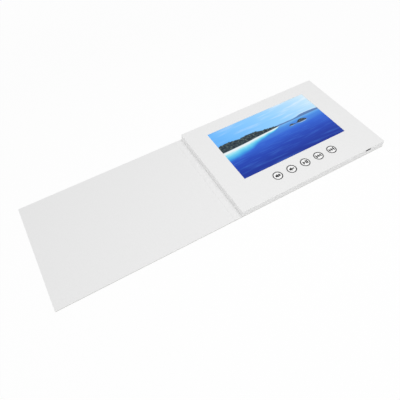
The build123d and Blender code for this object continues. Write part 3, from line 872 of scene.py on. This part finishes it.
def inner_crease(name, left, right):
    """The pressed groove of the lining, a rounded valley between two boards."""
    middle = (left + right) / 2
    bpy.ops.object.select_all(action="DESELECT")
    bpy.ops.mesh.primitive_plane_add(size=1, location=(middle, crease_middle_y, LINING_TOP))
    groove = bpy.context.active_object
    groove.scale = (right - left, crease_depth, 1)
    begin(groove, name)
    pick(groove, "edges", runs_across)
    bpy.ops.mesh.subdivide(number_cuts=1)
    pick(groove, "verts", lambda vert: abs(vert.co.x - middle) < ABOUT_NOTHING)
    bpy.ops.transform.translate(value=(0, 0, -GROOVE_DIP))
    pick(groove, "edges", lambda edge: all(abs(v.co.x - middle) < ABOUT_NOTHING for v in edge.verts))
    bpy.ops.mesh.bevel(
        offset=GROOVE_ROUNDING, segments=GROOVE_FACETS, profile=ROUND_PROFILE, affect="EDGES"
    )
    side = (right - left) * LEAST_SIDE
    pick(groove, "edges", lambda edge: runs_across(edge) and edge.calc_length() > side)
    bpy.ops.mesh.subdivide(number_cuts=GROOVE_SIDE_CUTS)
    end(groove, creased_card)
    thicken(groove, LINING_SKIN, DOWNWARDS)
    bpy.ops.object.shade_smooth_by_angle(angle=SMOOTH_BELOW)
    return groove


base_wrap_crease = outer_crease("base_crease_wrap", spine_wrap_high.x, base_wrap_low.x)
cover_wrap_crease = another(base_wrap_crease, "cover_crease_wrap", TO_COVER_CREASE)
base_groove = inner_crease("base_crease_lining", spine_high.x, panel_low.x)
cover_groove = another(base_groove, "cover_crease_lining", TO_COVER_CREASE)

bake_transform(base_wrap_crease)
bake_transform(base_groove)
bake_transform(cover_wrap_crease)
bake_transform(cover_groove)

# ---- The print on the buttons ----
# The print is bold: the ring's line is 1.2 mm wide, which is as wide as a black line has to be to
# look as dark as the ring in the photo. The signs are too small to read there, so their shapes are
# the usual ones, and their strokes are heavy enough to come near the darkness that they have there.

INK = 0.03 * MM
RING_OUTSIDE = 6.25 * MM
RING_LINE = 1.2 * MM
RING_SIDES = 96


def ink_ring(name, centre):
    """The printed ring round the edge of a button."""
    bpy.ops.object.select_all(action="DESELECT")
    bpy.ops.mesh.primitive_circle_add(vertices=RING_SIDES, radius=RING_OUTSIDE, location=centre)
    ring = bpy.context.active_object
    begin(ring, name)
    pick(ring, "edges", lambda edge: True)
    bpy.ops.mesh.extrude_edges_move()
    inside = 1 - RING_LINE / RING_OUTSIDE
    bpy.ops.transform.resize(value=(inside, inside, 1), center_override=centre)
    end(ring, button_ink)
    thicken(ring, INK, BOTH_WAYS)
    return ring


def bar(middle, width, height):
    """Adds an upright bar to the sign being edited, its size in millimetres."""
    bpy.ops.mesh.primitive_plane_add(size=1, location=middle)
    bpy.ops.transform.resize(value=(width * MM, height * MM, 1))


def keep_selected_at(across):
    """Leaves selected only the corners of the newest bar that are this far across."""
    mesh = bmesh.from_edit_mesh(bpy.context.edit_object.data)
    for vert in mesh.verts:
        vert.select_set(vert.select and abs(vert.co.x - across) < ABOUT_NOTHING)
    bmesh.update_edit_mesh(bpy.context.edit_object.data)


def wedge(middle, width, height, facing):
    """Adds a triangle to the sign, its point to the right (1) or to the left (-1)."""
    bar(middle, width, height)
    keep_selected_at(middle.x + facing * width / 2 * MM)
    bpy.ops.mesh.merge(type="CENTER")


def horn(middle, width, throat, mouth):
    """Adds the horn of a loudspeaker to the sign, widening to the right."""
    bar(middle, width, throat)
    mouth_x = middle.x + width / 2 * MM
    keep_selected_at(mouth_x)
    bpy.ops.transform.resize(
        value=(1, mouth / throat, 1), center_override=(mouth_x, middle.y, middle.z)
    )


# The strokes of each sign: what draws it, how far its middle is to the right of the button's
# middle and above it, then its width and its height or heights, all in millimetres, and for a
# wedge the way it faces.
LOUDSPEAKER = [(bar, -2.2, 0, 1.7, 3.0), (horn, -0.45, 0, 1.8, 3.0, 5.6)]
MINUS = [(bar, 2.15, 0, 2.9, 1.7)]
PLUS_TIPS = [(bar, 2.15, 1.35, 1.7, 1.0), (bar, 2.15, -1.35, 1.7, 1.0)]
SIGNS = {
    "volume_up": LOUDSPEAKER + MINUS + PLUS_TIPS,
    "volume_down": LOUDSPEAKER + MINUS,
    "play_pause": [
        (wedge, -1.55, 0, 3.4, 5.2, 1),
        (bar, 1.15, 0, 1.5, 4.9),
        (bar, 2.95, 0, 1.5, 4.9),
    ],
    "previous": [
        (bar, -3.05, 0, 1.6, 4.7),
        (wedge, -0.7, 0, 3.0, 5.0, -1),
        (wedge, 2.35, 0, 3.0, 5.0, -1),
    ],
    "next": [
        (wedge, -2.35, 0, 3.0, 5.0, 1),
        (wedge, 0.7, 0, 3.0, 5.0, 1),
        (bar, 3.05, 0, 1.6, 4.7),
    ],
}


def ink_sign(name, centre, strokes):
    """The printed sign in the middle of a button, drawn on a speck that is taken away first."""
    bpy.ops.object.select_all(action="DESELECT")
    bpy.ops.mesh.primitive_plane_add(size=INK, location=centre)
    sign = bpy.context.active_object
    begin(sign, name)
    bpy.ops.mesh.select_all(action="SELECT")
    bpy.ops.mesh.delete(type="VERT")
    for draw, right, above, *sizes in strokes:
        draw(centre + Vector((right, above, 0)) * MM, *sizes)
    end(sign, button_ink)
    thicken(sign, INK, BOTH_WAYS)
    return sign


# the middle of each button's top
tops = {}
for key in KEYS:
    key_low, key_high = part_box(f"{key}_key")
    tops[key] = (key_low + key_high) / 2
    tops[key].z = key_high.z

# the first ring is modelled, and the others are its copies
first_key = KEYS[0]
rings, signs = {}, {}
for key, top in tops.items():
    if key == first_key:
        rings[key] = ink_ring(f"{key}_ring", top)
    else:
        rings[key] = another(rings[first_key], f"{key}_ring", top - tops[first_key])
    signs[key] = ink_sign(f"{key}_sign", top, SIGNS[key])
for key in KEYS:
    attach(rings[key], f"{key}_button")
    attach(signs[key], f"{key}_button")

# ---- Floor and light ----

TABLE_WHITE = "#F6F6F6"
BACKGROUND_WHITE = "#FFFFFF"
FLOOR_WIDTH = 8
FLOOR_DROP = 0.05 * MM

# the background's share in the table as it is seen: least within the first distance in metres
# from the brochure, and whole past the second
BACKGROUND_SHARE = 0.87
SHADE_REACH = 0.35
BACKGROUND_REACH = 0.9


def seen_plainly(tree):
    """1 for what the camera sees, by itself, in a reflection or through glass, and 0 for light."""
    rays = add(tree, "LightPath")
    by_gloss = add(
        tree, "Math", {0: rays["Is Camera Ray"], 1: rays["Is Glossy Ray"]}, operation="MAXIMUM"
    )[0]
    return add(tree, "Math", {0: by_gloss, 1: rays["Is Transmission Ray"]}, operation="MAXIMUM")[0]


# White laminate table: an even white that keeps the brochure's soft shadow. For light that bounces
# off it, it is plain matt laminate. Where it is seen, it is mostly background white near the
# brochure and passes wholly into it within a metre, so that no edge of it shows far off.
table_laminate = bpy.data.materials.new("white_table_laminate")
table_laminate.use_nodes = True
tree = table_laminate.node_tree
tree.nodes.remove(tree.nodes["Principled BSDF"])
matt = add(tree, "BsdfDiffuse", {"Color": linear(TABLE_WHITE)})["BSDF"]
bright = add(tree, "BsdfDiffuse", {"Color": linear(BACKGROUND_WHITE)})["BSDF"]
glow = add(tree, "Emission", {"Color": linear(BACKGROUND_WHITE), "Strength": 1.0})["Emission"]
place = add(tree, "TexCoord")["Object"]
far_off = add(tree, "VectorMath", {0: place}, operation="LENGTH")["Value"]
share = add(
    tree,
    "MapRange",
    {
        "Value": far_off,
        "From Min": SHADE_REACH,
        "From Max": BACKGROUND_REACH,
        "To Min": BACKGROUND_SHARE,
        "To Max": 1.0,
    },
)["Result"]
background = add(tree, "MixShader", {0: share, 1: bright, 2: glow})["Shader"]
table = add(tree, "MixShader", {0: seen_plainly(tree), 1: matt, 2: background})["Shader"]
tree.links.new(table, tree.nodes["Material Output"].inputs["Surface"])

bpy.ops.object.select_all(action="DESELECT")
bpy.ops.mesh.primitive_plane_add(size=FLOOR_WIDTH, location=(0, 0, -FLOOR_DROP))
floor = bpy.context.active_object
floor.name = "table_top"
floor.data.materials.append(table_laminate)

SKY_LEVEL = 0.65
world = bpy.data.worlds.new("studio")
bpy.context.scene.world = world
world.use_nodes = True
tree = world.node_tree
level = add(tree, "MapRange", {"Value": seen_plainly(tree), "To Min": SKY_LEVEL, "To Max": 1.0})
tree.links.new(level["Result"], tree.nodes["Background"].inputs["Strength"])
tree.nodes["Background"].inputs["Color"].default_value = linear(BACKGROUND_WHITE)

# a wide softbox above the panel, and a low fill from the left for the wall beside the spine: where
# each is, where it is aimed, the width of its square in metres, and its power in watts
LAMPS = {
    "softbox": (Vector((0.10, -0.16, 0.75)), Vector((0.08, 0, 0)), 0.5, 1.85),
    "side_fill": (Vector((-1.2, -0.35, 0.45)), Vector((0, 0, 0)), 0.8, 1.5),
}
for name, (place, aimed_at, width, power) in LAMPS.items():
    lamp_data = bpy.data.lights.new(name, "AREA")
    lamp_data.shape = "SQUARE"
    lamp_data.size = width
    lamp_data.energy = power
    lamp = bpy.data.objects.new(name, lamp_data)
    bpy.context.scene.collection.objects.link(lamp)
    lamp.location = place
    lamp.rotation_mode = "QUATERNION"
    lamp.rotation_quaternion = (aimed_at - place).to_track_quat("-Z", "Y")
    lamp.visible_camera = False

bpy.context.scene.view_settings.view_transform = "Standard"
